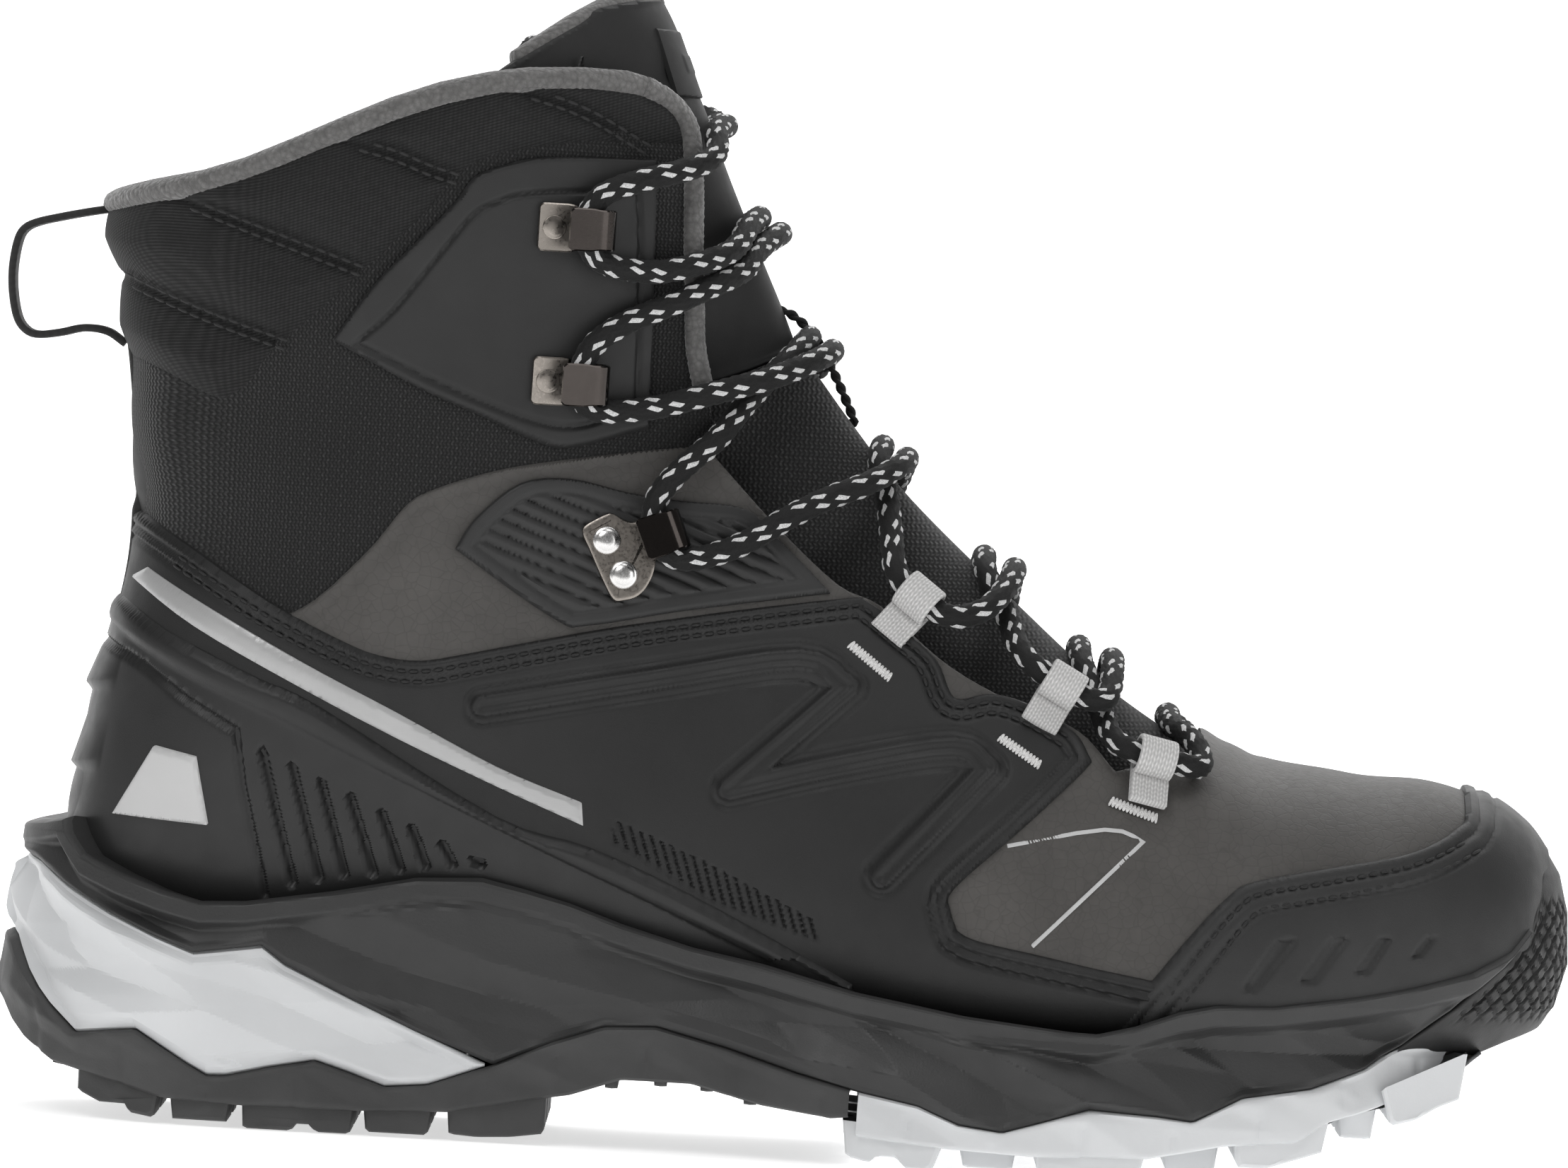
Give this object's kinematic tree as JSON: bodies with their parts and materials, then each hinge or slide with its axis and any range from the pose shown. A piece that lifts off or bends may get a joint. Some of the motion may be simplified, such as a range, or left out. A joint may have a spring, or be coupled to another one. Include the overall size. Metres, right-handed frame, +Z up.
{
  "type": "hiking boot",
  "caption": "Mid-height laced hiking boot for a right foot, with a moulded lugged sole, padded collar, tongue, webbing lace loops, speed hooks and a heel pull loop.",
  "frame": {"origin": "centre of the bounding box on the ground, under the lowest lugs", "axes": "+X to the toe, +Y to the medial side, +Z up"},
  "size_m": [0.3131, 0.1081, 0.2238],
  "materials": {
    "black_rubber": "matte moulded rubber",
    "grey_rubber": "satin light grey rubber",
    "midsole_foam": "matte moulded foam with a faceted side",
    "shank_nylon": "plain",
    "board": "fibre board",
    "footbed_foam": "foam with a textile top",
    "nubuck": "grey brown nubuck with a fine crease",
    "black_mesh": "fine knitted mesh",
    "black_overlay": "matte grained synthetic leather",
    "cage_plastic": "matte moulded plastic",
    "badge": "silver grey satin badge",
    "reflective": "silver grey reflective film",
    "lining": "textile lining",
    "pad_foam": "soft foam",
    "black_knit": "ribbed stretch knit over foam",
    "grey_fleece": "soft brushed textile",
    "hook_metal": "dark nickel plate",
    "rivet_metal": "satin steel",
    "grey_webbing": "light grey woven webbing",
    "black_webbing": "black woven webbing",
    "lace_cord": "round braid, black with light grey flecks",
    "aglet": "clear-coated tip"
  },
  "bodies": {
    "boot": {"outsole_heel": "black_rubber", "outsole_forefoot": "grey_rubber", "outsole_toe_bumper": "black_rubber", "midsole": "midsole_foam", "heel_insert": "grey_rubber", "shank": "shank_nylon", "lasting_board": "board", "vamp": "nubuck", "quarter_leather_lateral": "nubuck", "quarter_leather_medial": "nubuck", "ankle_mesh": "black_mesh", "quarter_overlay_lateral": "black_overlay", "quarter_overlay_medial": "black_overlay", "toe_cap": "black_overlay", "heel_cage": "cage_plastic", "heel_badge_lateral": "badge", "heel_badge_medial": "badge", "reflective_stripe_lateral": "reflective", "reflective_stripe_medial": "reflective", "ankle_patch_lateral": "black_overlay", "ankle_patch_medial": "black_overlay", "hook_patch_lateral": "black_overlay", "hook_patch_medial": "black_overlay", "toe_puff": "board", "heel_counter": "board", "bootie_lining": "lining", "ankle_padding": "pad_foam", "collar_pad": "black_knit", "shaft_lining": "lining", "collar_binding": "grey_fleece", "throat_binding_lateral": "grey_fleece", "throat_binding_medial": "grey_fleece", "gusset_lateral": "black_mesh", "gusset_medial": "black_mesh", "hook_top_lateral": "hook_metal", "hook_top_medial": "hook_metal", "hook_mid_lateral": "hook_metal", "hook_mid_medial": "hook_metal", "hook_lock_lateral": "hook_metal", "hook_lock_medial": "hook_metal", "rivets": "rivet_metal", "lace_loop_1_lateral": "grey_webbing", "lace_loop_2_lateral": "grey_webbing", "lace_loop_3_lateral": "grey_webbing", "lace_loop_1_medial": "grey_webbing", "lace_loop_2_medial": "grey_webbing", "lace_loop_3_medial": "grey_webbing", "bartacks": "grey_webbing", "heel_tape": "black_webbing", "lace": "lace_cord", "lace_aglets": "aglet"},
    "tongue": {"tongue_pad": "black_knit", "tongue_lining": "grey_fleece", "tongue_patch": "black_overlay", "tongue_keeper": "black_mesh"},
    "footbed": {"footbed": "footbed_foam"},
    "pull_loop": {"pull_loop": "black_webbing"}
  },
  "joints": [
    {"name": "tongue_tilt", "type": "hinge", "parent": "boot", "child": "tongue", "pos_m": [0.0779, 0, 0.072], "axis": [0, -1, 0], "range_deg": [0, 4]},
    {"name": "footbed_lift", "type": "hinge", "parent": "boot", "child": "footbed", "pos_m": [0.1215, 0, 0.035], "axis": [0, 1, 0], "range_deg": [0, 5]},
    {"name": "pull_loop_swing", "type": "hinge", "parent": "boot", "child": "pull_loop", "pos_m": [-0.1405, 0, 0.176], "axis": [0.1735, 0, -0.9848], "range_deg": [-25, 25]}
  ]
}
